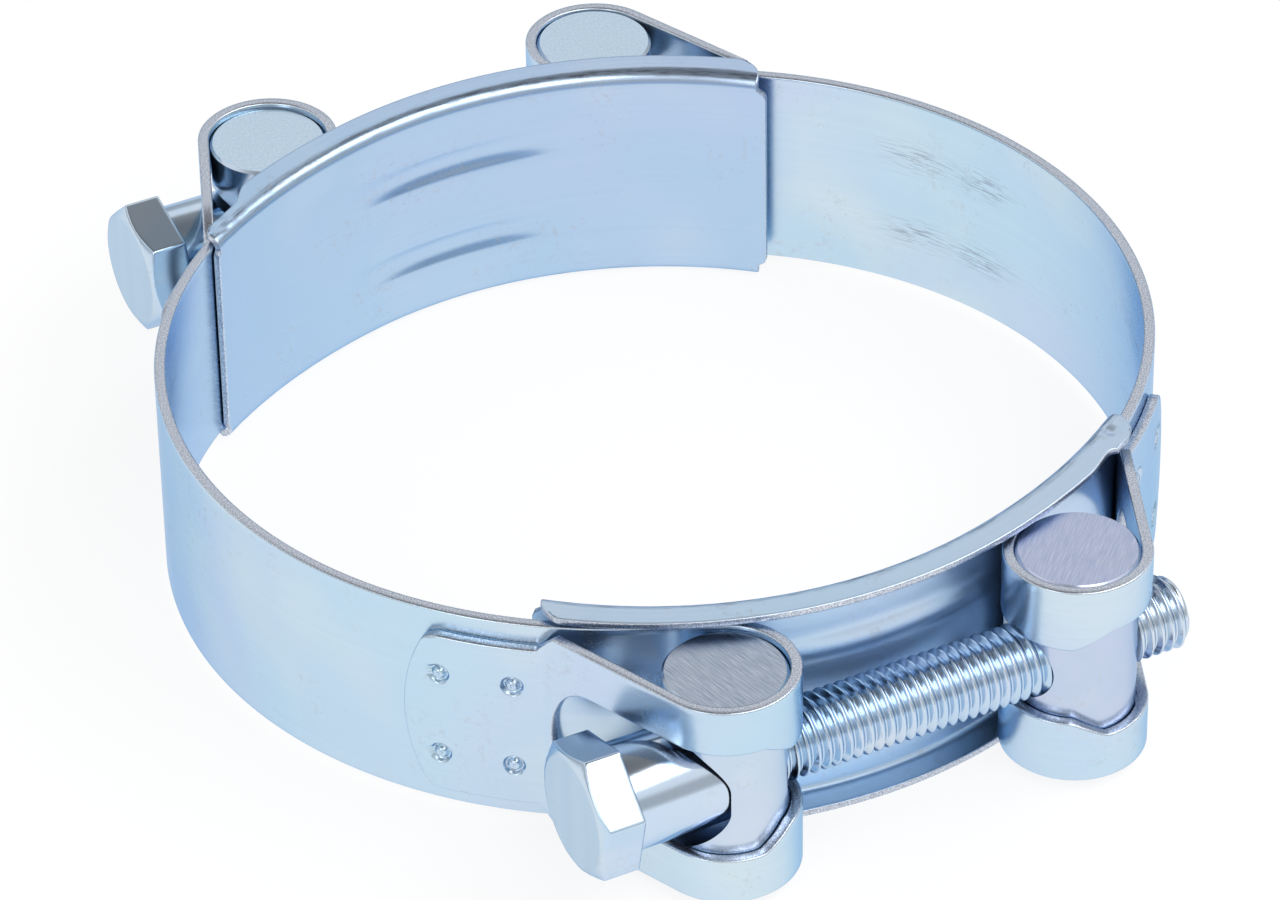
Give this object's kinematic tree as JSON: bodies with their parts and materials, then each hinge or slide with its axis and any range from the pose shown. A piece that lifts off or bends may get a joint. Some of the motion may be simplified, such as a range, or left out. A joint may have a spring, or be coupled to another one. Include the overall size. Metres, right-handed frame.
{
  "type": "two-bolt hinge hose clamp",
  "caption": "Heavy-duty pipe and hose clamp: hinged half bands closed by cross bolts through trunnions, with sprung channel bridges under the gaps.",
  "frame": {"origin": "centre of the clamp's bore, at mid width of the band", "axes": "+Z along the clamped pipe, +X along the bolts from head to tip, +Y towards the back bolt"},
  "size_m": [0.132, 0.1512, 0.0332],
  "materials": {
    "zinc_band": "blue-passivated zinc plate, rolled satin",
    "zinc_bridge": "blue-passivated zinc plate, satin",
    "zinc_trunnion": "zinc plate over sawn and turned steel",
    "zinc_bolt": "bright zinc plate over forged steel",
    "zinc_sleeve": "bright zinc plate over drawn tube"
  },
  "bodies": {
    "head_half": {"left_band": "zinc_band", "front_plain_trunnion": "zinc_trunnion", "back_plain_trunnion": "zinc_trunnion", "front_sleeve": "zinc_sleeve", "back_sleeve": "zinc_sleeve"},
    "nut_half": {"right_band": "zinc_band", "front_threaded_trunnion": "zinc_trunnion", "back_threaded_trunnion": "zinc_trunnion"},
    "front_bolt_body": {"front_bolt": "zinc_bolt"},
    "back_bolt_body": {"back_bolt": "zinc_bolt"},
    "back_bridge_body": {"back_bridge": "zinc_bridge"},
    "front_bridge_body": {"front_bridge": "zinc_bridge"}
  },
  "joints": [
    {"name": "front_bolt_spin", "type": "hinge", "parent": "head_half", "child": "front_bolt_body", "pos_m": [0, -0.06612, 0], "axis": [1, 0, 0], "range_deg": [-722, 2282]},
    {"name": "back_bolt_spin", "type": "hinge", "parent": "head_half", "child": "back_bolt_body", "pos_m": [0, 0.06612, 0], "axis": [1, 0, 0], "range_deg": [-722, 2282]},
    {"name": "closing_slide", "type": "slide", "parent": "head_half", "child": "nut_half", "axis": [-1, 0, 0], "range_m": [-0.003, 0.0095]},
    {"name": "back_bridge_flex", "type": "hinge", "parent": "head_half", "child": "back_bridge_body", "pos_m": [-0.04284, 0.0452, 0], "axis": [0, 0, -1], "range_deg": [-1.26, 3.98]},
    {"name": "front_bridge_flex", "type": "hinge", "parent": "nut_half", "child": "front_bridge_body", "pos_m": [0.04284, -0.0452, 0], "axis": [0, 0, -1], "range_deg": [-1.26, 3.98]}
  ],
  "couplings": [
    {"joint": "front_bolt_spin", "follows": "closing_slide", "rad_per_m": 4188.8},
    {"joint": "back_bolt_spin", "follows": "closing_slide", "rad_per_m": 4188.8},
    {"joint": "back_bridge_flex", "follows": "closing_slide", "rad_per_m": 7.3},
    {"joint": "front_bridge_flex", "follows": "closing_slide", "rad_per_m": 7.3}
  ]
}
